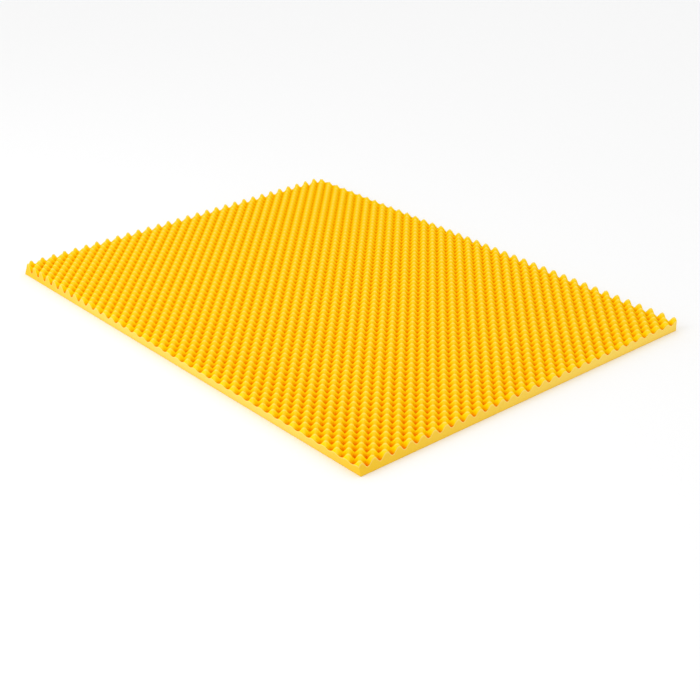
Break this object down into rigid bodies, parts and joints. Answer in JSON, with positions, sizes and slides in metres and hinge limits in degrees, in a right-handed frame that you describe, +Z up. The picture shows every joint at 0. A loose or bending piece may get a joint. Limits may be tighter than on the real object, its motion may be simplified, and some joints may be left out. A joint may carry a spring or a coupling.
{
  "type": "mattress topper",
  "caption": "Flat rectangular sheet of convoluted foam with staggered pegs on top and a flat underside, laid on a mattress to soften it.",
  "frame": {"origin": "middle of the flat underside", "axes": "+X along the length, +Y across the width, +Z up, out of the pegged side"},
  "size_m": [2, 1.5, 0.05],
  "materials": {
    "foam": "matt open-cell polyurethane foam, yellow, deeper orange in the valleys and paler on the cut sides"
  },
  "bodies": {
    "root": {"topper": "foam"}
  },
  "joints": []
}
